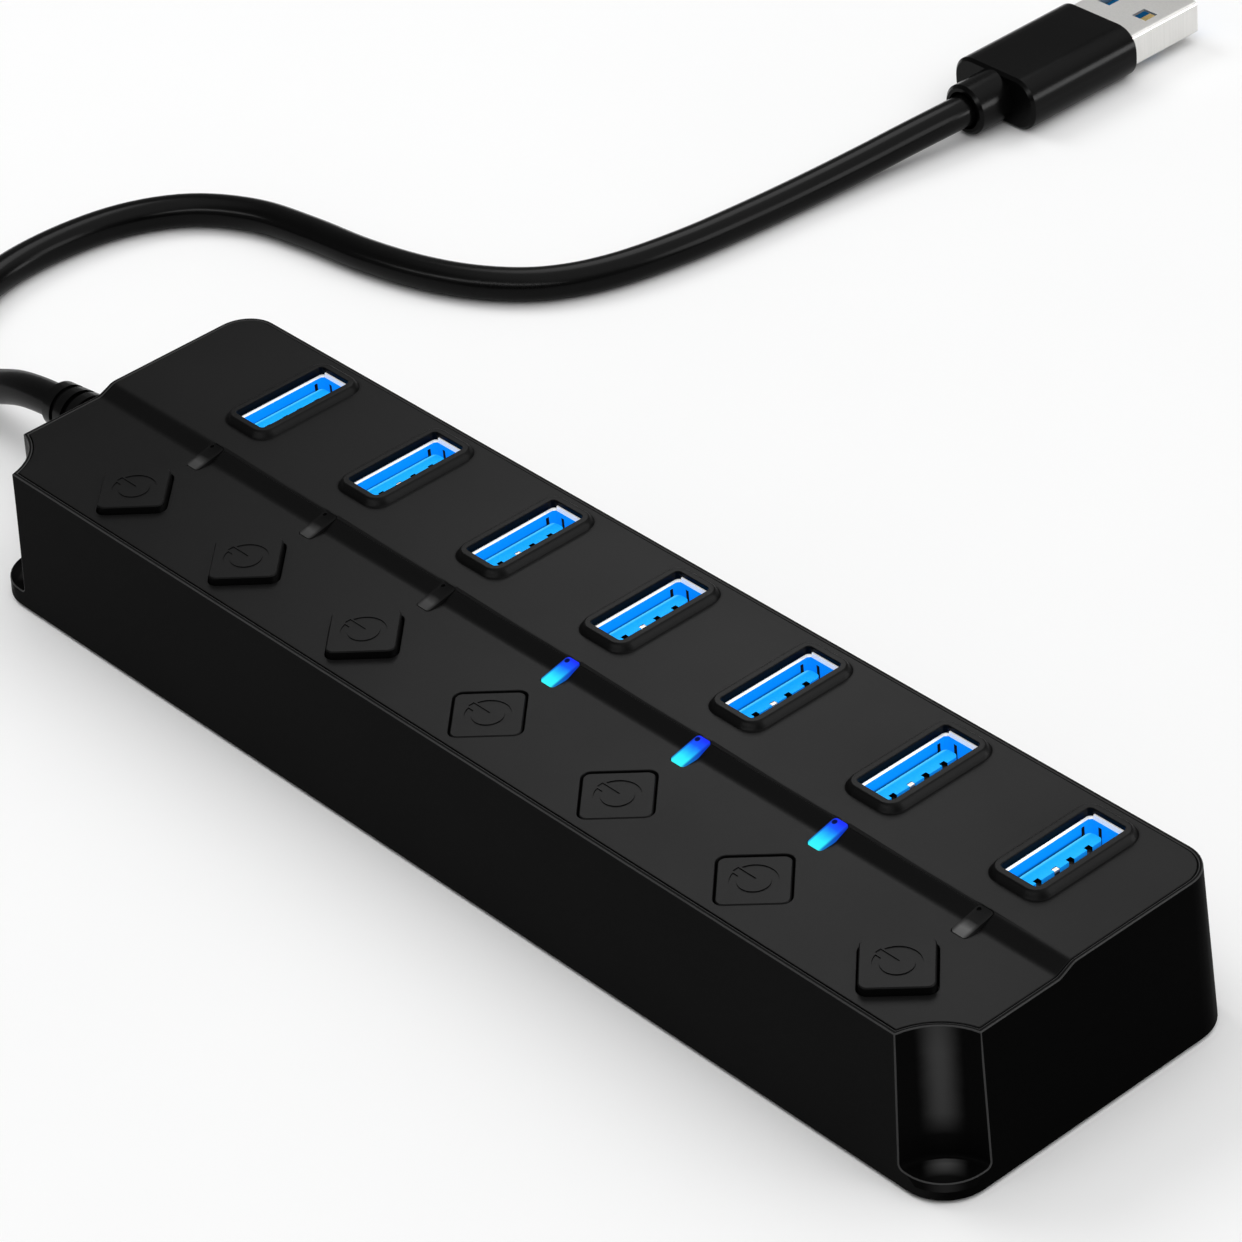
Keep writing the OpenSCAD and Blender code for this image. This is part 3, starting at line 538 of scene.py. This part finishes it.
def plated(name, colour, rough, roll_mm, metallic=1.0, glow=0.0, shade_paint=None):
    """Plated sheet with lines of a width in mm; a given function paints shade into its colour by place, and a
    glow, where given, is painted light.
    """
    m, place = new_material(name)
    fine = 1 / (roll_mm * MM)
    stretch = add(m, "ShaderNodeMapping", {}, {"Vector": place, "Scale": (fine, fine, ALONG)})
    rolled = add(m, "ShaderNodeTexNoise", {}, {"Vector": stretch.outputs[0], "Scale": 1.0, "Detail": 3.0})
    dull = add(m, "ShaderNodeMapRange", {}, {"Value": rolled.outputs["Fac"], "To Min": rough - ROLL_SWING,
                                             "To Max": rough + ROLL_SWING})
    darker = tuple(c * LINE_TONE for c in shade(colour)[:3]) + (1.0,)
    tone = add(m, "ShaderNodeMix", COLOURS, {"Factor": rolled.outputs["Fac"], BELOW: shade(colour),
                                             ABOVE: darker}).outputs[MIXED]
    if shade_paint:
        tone = shade_paint(m, place, tone)
    bump = add(m, "ShaderNodeBump", {}, {"Height": rolled.outputs["Fac"], "Strength": LINE_STRENGTH,
                                         "Distance": LINE_DEPTH * MM})
    return surface(m, Base_Color=tone, Metallic=metallic, Roughness=dull.outputs[0], Normal=bump.outputs[0],
                   Emission_Color=tone, Emission_Strength=glow)


nickel = plated("nickel_plated_sheet", "#e4e3e0", 0.32, 0.25, metallic=0.75)
gold = plated("gold_plated_contacts", "#f0cf86", 0.25, 0.2)
zinc = plated("zinc_plated_screws", "#8d8f92", 0.35, 0.2)
finish_with(nickel, "plug_shell", "crystals", "capacitors")
finish_with(gold, "plug_contacts")
finish_with(zinc, "housing_screws")
print("metals:", nickel.name, gold.name, zinc.name)

# %% [markdown]
# ## Inside the sockets
# The shells end in a bright nickel mouth, and the contacts in tips of pale gold. The tongue is
# glass-filled PBT dyed blue, which lets light through and so looks brighter than a dull plastic;
# a little glow, which is painted light, stands for that. Hardly any light finds its way down a slot of a few
# millimetres, and as the glow would be as bright down there, painted shade is laid into the colours by
# height.

# %% Inside the sockets
# the heights of the tongue's top and of its painted dark depth, in mm
TONGUE_TOP, TONGUE_DEEP = 17.65, 16.0
# the contacts' notches: how deep and half how wide they are, and where each pair of them stands
NOTCH_IN, NOTCH_HALF, PAIR_Y, PAIR_HALF = 0.52, 0.37, 2.25, 1.25
# where the painted highlight along the back edge starts and is full, and a margin that takes in a notch's
# walls but not the top
BACK_EDGE, SKIN = (-1.45, -1.75), 0.01
# the painted shade of the lining's gap by height, and where the tongue ends beside it
GAP_Z, TONGUE_END = (17.05, 17.45), (5.2, 5.45)
# the heights between which the shells and the contacts get painted shade
MOUTH_Z, TIP_Z = (18.0, 18.4), (17.3, 17.5)
BLACK = (0, 0, 0, 1)


def painted_depth_shade(low, high, least):
    """Painted shade that darkens the depth of a socket, from one height to another in mm."""
    def shade_paint(m, place, colour):
        share = add(m, "ShaderNodeMapRange", {},
                    {"Value": height(m, place), **span(low, high), "To Min": least})
        deep = {"Factor": share.outputs[0], BELOW: BLACK, ABOVE: colour}
        return add(m, "ShaderNodeMix", COLOURS, deep).outputs[MIXED]
    return shade_paint


def painted_tongue_light(m, place, colour):
    """The tongue's painted light: a painted highlight along its back edge, and painted shade in the depth and
    in the contacts' notches.
    """
    x, y, z = from_socket(m, place)
    in_x = add(m, "ShaderNodeMath", {"operation": "COMPARE"},
               {0: x, 1: -NOTCH_IN / 2 * MM, 2: (NOTCH_IN / 2 + SKIN) * MM})
    side = add(m, "ShaderNodeMath", SIZE_OF, {0: y})
    pair = add(m, "ShaderNodeMath", MINUS, {0: side.outputs[0], 1: PAIR_Y * MM})
    apart = add(m, "ShaderNodeMath", SIZE_OF, {0: pair.outputs[0]})
    in_y = add(m, "ShaderNodeMath", {"operation": "COMPARE"},
               {0: apart.outputs[0], 1: PAIR_HALF * MM, 2: NOTCH_HALF * MM})
    under = add(m, "ShaderNodeMath", {"operation": "LESS_THAN"}, {0: z, 1: (TONGUE_TOP - 2 * SKIN) * MM})
    in_both = add(m, "ShaderNodeMath", TIMES, {0: in_x.outputs[0], 1: in_y.outputs[0]})
    hole = add(m, "ShaderNodeMath", TIMES, {0: in_both.outputs[0], 1: under.outputs[0]})
    back = add(m, "ShaderNodeMapRange", SOFT, {"Value": x, **span(*BACK_EDGE)})
    pale = add(m, "ShaderNodeMix", COLOURS, {"Factor": back.outputs[0], BELOW: colour,
                                             ABOVE: shade("#58d2ff")})
    deep = painted_depth_shade(TONGUE_DEEP, TONGUE_TOP, least=0.15)(m, place, pale.outputs[MIXED])
    holes = {"Factor": hole.outputs[0], BELOW: deep, ABOVE: shade("#040608")}
    return add(m, "ShaderNodeMix", COLOURS, holes).outputs[MIXED]


def painted_gap_shade(m, place, colour):
    """The lining's painted shade: dark in the narrow gap beside the tongue, but not past its far end."""
    _, y, _ = from_socket(m, place)
    past = add(m, "ShaderNodeMapRange", SOFT, {"Value": y, **span(*TONGUE_END)})
    deep = painted_depth_shade(*GAP_Z, least=0.12)(m, place, colour)
    walls = {"Factor": past.outputs[0], BELOW: deep, ABOVE: colour}
    return add(m, "ShaderNodeMix", COLOURS, walls).outputs[MIXED]


# the mouths are nickel with a painted glow that brightens them, and painted shade in the depth
mouth_nickel = plated("nickel_plated_mouths", "#f4f3f0", 0.45, 0.25, metallic=0.25, glow=0.5,
                      shade_paint=painted_depth_shade(*MOUTH_Z, least=0.01))
# the tips' near-white tone is gold plating and a painted glint, with painted shade below
tip_gold = plated("gold_plated_tips", "#fbf6ea", 0.4, 0.2, metallic=0.4, shade_paint=painted_depth_shade(*TIP_Z, least=0.02))
# the tongue and the lining glow a little: painted light that brightens them
tongue_pbt = moulded("pbt_blue", "#10a4fa", "#20b4ff", 0.4, 0.04, grain_mm=0.3, glow=0.2, shade_paint=painted_tongue_light)
lining_pbt = moulded("pbt_blue_thin", "#047ede", "#0888e4", 0.4, 0.04, grain_mm=0.3, glow=0.74, shade_paint=painted_gap_shade)
plug_pbt = moulded("pbt_blue_plug", "#10a4fa", "#20b4ff", 0.4, 0.04, grain_mm=0.3)
finish_with(mouth_nickel, *[f"socket_shell_{k}" for k in PORTS])
finish_with(tip_gold, "socket_contacts")
finish_with(tongue_pbt, *[f"socket_insulator_{k}" for k in PORTS])
finish_with(plug_pbt, "plug_insulator")
print("in the sockets:", mouth_nickel.name, tip_gold.name, tongue_pbt.name)

# %% [markdown]
# ## Blue linings of the sockets
# Below its bright mouth each socket is blue all round: the insulator has thin side walls that line
# the shell. In the solid model shell and insulator only touch at the base, so the walls are added
# here as one sheet of faces that runs round the shell. Faces are left out at the cuts for the
# spring fingers, where the dark shell shows through, and a modifier gives the sheet its thickness.

# %% Socket linings
# half the width and the length of a lining, how far its corners are cut, and its wall, in mm
HALF_W, HALF_L, CORNER, WALL = 2.47, 6.17, 0.3, 0.04
# each cut's distance from the middle of its wall, half its width, and its low and high end
CUTS = {"long": (5.1, 0.23, 11.3, 18.1), "end": (1.2, 0.24, 14.8, 18.0)}
FOOT = 8.0
TOPS = {"long": 18.57, "end": 18.6}


def lining(k):
    """One lining: upright lines of points round the four walls, with faces between all but the cuts."""
    lines = []
    for turn in range(4):
        kind, half, reach = ("end", HALF_L, HALF_W) if turn % 2 == 0 else ("long", HALF_W, HALF_L)
        middle, cut = CUTS[kind][:2]
        edge = reach - CORNER
        for across, opens_cut in ((edge, False), (middle + cut, True), (middle - cut, False),
                                  (cut - middle, True), (-middle - cut, False), (-edge, False)):
            side = Vector((across, half, 0))
            side.rotate(Quaternion((0, 0, 1), math.radians(90 * turn)))
            lines.append((side, kind, opens_cut))
    levels = sorted((FOOT, *CUTS["long"][2:], *CUTS["end"][2:]))
    x = (k - MIDDLE_PORT) * PITCH + ROW_SHIFT
    points = [((side.x + x) * MM, (side.y + SOCKET_Y) * MM, z * MM)
              for side, kind, _ in lines for z in levels + [TOPS[kind]]]
    rows = len(levels) + 1
    faces = []
    for i, (_, kind, opens_cut) in enumerate(lines):
        a, b = i * rows, (i + 1) % len(lines) * rows
        low, high = CUTS[kind][2:]
        faces += [(a + r, b + r, b + r + 1, a + r + 1) for r, z in enumerate(levels)
                  if not (opens_cut and low <= z < high)]
    mesh = bpy.data.meshes.new(f"socket_lining_{k}")
    mesh.from_pydata(points, [], faces)
    mesh.materials.append(lining_pbt)
    piece = bpy.data.objects.new(mesh.name, mesh)
    bpy.context.collection.objects.link(piece)
    wall = piece.modifiers.new("wall", "SOLIDIFY")
    wall.thickness, wall.offset = WALL * MM, 0.0
    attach(piece, "hub")
    return piece


linings = [lining(k) for k in PORTS]
print("socket linings:", len(linings), "faces each:", len(linings[0].data.polygons))

# %% [markdown]
# ## Light pipes
# Each pipe is a strip of clear acrylic that carries the light of a lamp on the board up to the
# cover. The three latched buttons have theirs lit: pale cyan over the lamp, falling to a
# deep blue at the far end. The others show only as grey, hazy plastic.

# %% Light pipes
# places on a pipe, in mm from the middle of its socket
PIPE_X, PIPE_HALF, PIPE_Y, PIPE_MARK = 0.5, 1.02, (-14.9, -10.9), (-0.1, -11.4)
# the mark's soft edge, how strong the rim is, and the heights between which the glow starts
MARK_EDGE, RIM_DEPTH, PIPE_TOP = (0.36, 0.24), 0.85, (16.9, 17.3)
HAZE_MM, HAZE_SHARE = 0.8, 0.1
# acrylic with a slightly dulled top
ACRYLIC = {"Roughness": 0.3, "IOR": 1.49, "Specular_IOR_Level": 0.02}


def pipe_material(name, tones, rim, dot, straight, lit=False):
    """Acrylic with tones along the pipe, a darker rim that starts so far from its middle, and a dot."""
    m, place = new_material(name)
    x, y, z = from_socket(m, place)
    haze = add(m, "ShaderNodeTexNoise", {}, {"Vector": place, "Scale": 1 / (HAZE_MM * MM), "Detail": 2.0})
    share = add(m, "ShaderNodeMapRange", {}, {"Value": y, **span(*PIPE_Y)})
    uneven = add(m, "ShaderNodeMath", TIMES_PLUS,
                 {0: haze.outputs["Fac"], 1: HAZE_SHARE, 2: share.outputs[0]})
    tone = add(m, "ShaderNodeValToRGB", {}, {"Fac": uneven.outputs[0]})
    set_stops(tone, [(at, shade(colour)) for at, colour in tones])
    # both long edges are darker, and so is the round mark at the high end
    from_middle = add(m, "ShaderNodeMath", MINUS, {0: x, 1: PIPE_X * MM})
    aside = add(m, "ShaderNodeMath", SIZE_OF, {0: from_middle.outputs[0]})
    edge = add(m, "ShaderNodeMapRange", SOFT, {"Value": aside.outputs[0], **span(straight, PIPE_HALF),
                                               "To Max": RIM_DEPTH})
    rimmed = add(m, "ShaderNodeMix", COLOURS, {"Factor": edge.outputs[0], BELOW: tone.outputs["Color"],
                                               ABOVE: shade(rim)})
    spot = add(m, "ShaderNodeCombineXYZ", {}, {"X": x, "Y": y})
    from_mark = add(m, "ShaderNodeVectorMath", {"operation": "DISTANCE"},
                    {0: spot.outputs[0], 1: (PIPE_MARK[0] * MM, PIPE_MARK[1] * MM, 0)})
    mark = add(m, "ShaderNodeMapRange", SOFT, {"Value": from_mark.outputs["Value"], **span(*MARK_EDGE)})
    marked = {"Factor": mark.outputs[0], BELOW: rimmed.outputs[MIXED], ABOVE: shade(dot)}
    colour = add(m, "ShaderNodeMix", COLOURS, marked).outputs[MIXED]
    if not lit:
        return surface(m, Base_Color=colour, **ACRYLIC)
    # only the top of the pipe shows, so the light that it would spill inside the case is left out
    top = add(m, "ShaderNodeMapRange", SOFT, {"Value": z, **span(*PIPE_TOP)})
    seen = add(m, "ShaderNodeMix", COLOURS, {"Factor": top.outputs[0], BELOW: BLACK, ABOVE: colour})
    return surface(m, Base_Color=shade("#0a1830"), Emission_Color=seen.outputs[MIXED], Emission_Strength=1.0,
                   **ACRYLIC)


LIT_TONES = [(0.0, "#3bfcfb"), (0.3, "#2ef0ff"), (0.52, "#1fb0ff"), (0.75, "#1058ff"), (1.0, "#182cff")]
# the unlit pipes fall from grey to near black at the high end: painted shade where they run into the dark
# step
HAZY_TONES = [(0.0, "#3e3e3e"), (0.3, "#464646"), (0.42, "#343434"), (0.56, "#141414"), (1.0, "#0d0d0d")]
NEAR_TONES = [(0.0, "#565656"), (0.3, "#606060"), (0.42, "#464646"), (0.56, "#1a1a1a"), (1.0, "#121212")]
pipe_lit = pipe_material("acrylic_lit", LIT_TONES, "#0a2fb0", "#080c40", 0.68, lit=True)
pipe_dark = pipe_material("acrylic_hazy", HAZY_TONES, "#161616", "#141414", 0.45)
# the seventh pipe is paler than the other three dark ones: painted light from its lit neighbour
pipe_near = pipe_material("acrylic_hazy_near", NEAR_TONES, "#1c1c1c", "#161616", 0.5)
finish_with(pipe_lit, *[f"light_pipe_{k}" for k in (4, 5, 6)])
finish_with(pipe_dark, *[f"light_pipe_{k}" for k in (1, 2, 3)])
finish_with(pipe_near, "light_pipe_7")
print("light pipes:", pipe_lit.name, pipe_dark.name, pipe_near.name)

# %% [markdown]
# ## Soft black pieces
# The cord's jacket, its plug body and the strain relief are one soft PVC, a little glossier
# than the case. The feet are black rubber.

# %% Soft black pieces
jacket = moulded("pvc_black_jacket", "#040404", "#070707", 0.22, 0.07, grain_mm=0.4, grain_depth=0.001)
cord.data.materials.append(jacket)
finish_with(jacket, "plug_grip", "strain_relief")
rubber = moulded("rubber_black", "#1a1a1a", "#242424", 0.7, 0.3, grain_mm=0.6, grain_depth=0.03)
finish_with(rubber, "rubber_feet")
print("soft pieces:", jacket.name, rubber.name)

# %% [markdown]
# ## Pieces inside
# The board and what stands on it are shut in, but they are finished too, for anyone
# who opens the model: green lacquer on glass fibre, nylon, epoxy and PVC.

# %% Inside
board = moulded("fr4_green", "#0c5230", "#0f6038", 0.4, 0.5, grain_mm=0.5)
plungers = moulded("nylon_white", "#e4e1d8", "#efece4", 0.5, 0.4)
switches = moulded("nylon_black", "#161616", "#1e1e1e", 0.5, 0.4)
chips = moulded("epoxy_black", "#141414", "#1c1c1c", 0.6, 0.4)
lamps = moulded("epoxy_milky", "#f0ede2", "#faf7ee", 0.3, 0.5)
wires = moulded("pvc_red", "#a8352c", "#b8433a", 0.4, 0.4)
finish_with(board, "circuit_board")
finish_with(plungers, *[f"switch_plunger_{k}" for k in PORTS])
finish_with(switches, "switch_bodies")
finish_with(chips, "hub_controllers")
finish_with(lamps, "indicator_lamps")
finish_with(wires, "lead_wires")
print("inside:", [m.name for m in (board, plungers, switches, chips, lamps, wires)])

# %% [markdown]
# ## The floor
# The hub lies on a pale sheet of paper that runs far past the picture. A slow change of tone
# keeps it from looking like a flat fill.

# %% Floor
# the sheet's width in metres, and the size of the change of tone in mm
FLOOR_SIZE, FIBRE_MM = 6.0, 50.0
bpy.ops.mesh.primitive_plane_add(size=FLOOR_SIZE, location=(0, 0, 0))
floor = bpy.context.object
floor.name = "floor"
paper, place = new_material("white_paper")
fibre = add(paper, "ShaderNodeTexNoise", {}, {"Vector": place, "Scale": 1 / (FIBRE_MM * MM), "Detail": 4.0})
pale = add(paper, "ShaderNodeMix", COLOURS, {"Factor": fibre.outputs["Fac"], BELOW: shade("#f5f5f5"),
                                             ABOVE: shade("#f8f8f8")})
surface(paper, Base_Color=pale.outputs[MIXED], Roughness=0.8, Specular_IOR_Level=0.1)
floor.data.materials.append(paper)
print("floor:", paper.name)

# %% [markdown]
# ## The sky
# A soft sky that is brightest overhead, as under a product studio's ceiling cloth, lights the
# part from above at a plain level, so that a colour comes out much as it is written.

# %% Sky
SKY_LOW, SKY_HIGH = 0.26, 1.64
# the way to the cloth, and how far along it a ray has to point at the cloth's edge and where it is full
CEILING, CLOTH_EDGE, CLOTH_FULL = (0.3, 0.1, 0.95), 0.55, 0.9
world = bpy.data.worlds.new("studio")
bpy.context.scene.world = world
world.use_nodes = True
sky = world.node_tree.nodes["Background"]
heading = add(world, "ShaderNodeVectorMath", {"operation": "DOT_PRODUCT"},
              {0: add(world, "ShaderNodeTexCoord").outputs["Generated"], 1: CEILING})
bright = add(world, "ShaderNodeMapRange", SOFT,
             {"Value": heading.outputs["Value"], "From Min": CLOTH_EDGE, "From Max": CLOTH_FULL,
              "To Min": SKY_LOW, "To Max": SKY_HIGH})
world.node_tree.links.new(bright.outputs[0], sky.inputs["Strength"])
sky.inputs["Color"].default_value = shade("#ffffff")
print("sky, low and high:", SKY_LOW, SKY_HIGH)

# %% [markdown]
# ## The lamps
# One large soft lamp above the cord end lets the hub throw a soft shadow past its free end.
# Four more lamps show only in glossy surfaces: they lay a sheen on the cover, brighten the
# edges, and draw a streak along the cord and one along the plug.

# %% Lamps


def soft_lamp(name, place, target, wide, high, watts, mirrored=True):
    """A round or long lamp that is either mirrored in glossy surfaces or lights dull ones."""
    lamp = bpy.data.lights.new(name, "AREA")
    lamp.shape, lamp.size, lamp.size_y, lamp.energy = "ELLIPSE", wide, high, watts
    holder = bpy.data.objects.new(name, lamp)
    holder.location = place
    holder.rotation_euler = (Vector(target) - Vector(place)).to_track_quat("-Z", "Y").to_euler()
    holder.visible_glossy, holder.visible_diffuse = mirrored, not mirrored
    bpy.context.collection.objects.link(holder)


# each lamp's place and target, its width and height in metres, and its power in watts
soft_lamp("key_softbox", (-1.8, -0.22, 2.0), (0, 0, 0), 1.3, 1.3, 18.0, mirrored=False)
soft_lamp("sheen_softbox", (-0.167, 0.19, 0.25), (0.09, -0.01, 0.02), 0.2, 0.2, 0.38)
soft_lamp("edge_softbox", (0.52, 0.33, 0.26), (0.02, 0, 0.02), 0.3, 0.3, 1.2)
soft_lamp("cord_striplight", (0.12, -0.6, 0.4), (-0.09, 0.05, 0), 1.3, 0.08, 3.2)
soft_lamp("plug_softbox", (0.41, 0.51, 0.09), (-0.06, 0.14, 0), 0.18, 0.18, 0.9)
bpy.context.scene.view_settings.view_transform = "Standard"
print("lamps:", [lamp.name for lamp in bpy.data.lights])

# %% [markdown]
# ## Done
# The view layer is brought up to date once more.

# %% Finish
bpy.context.view_layer.update()
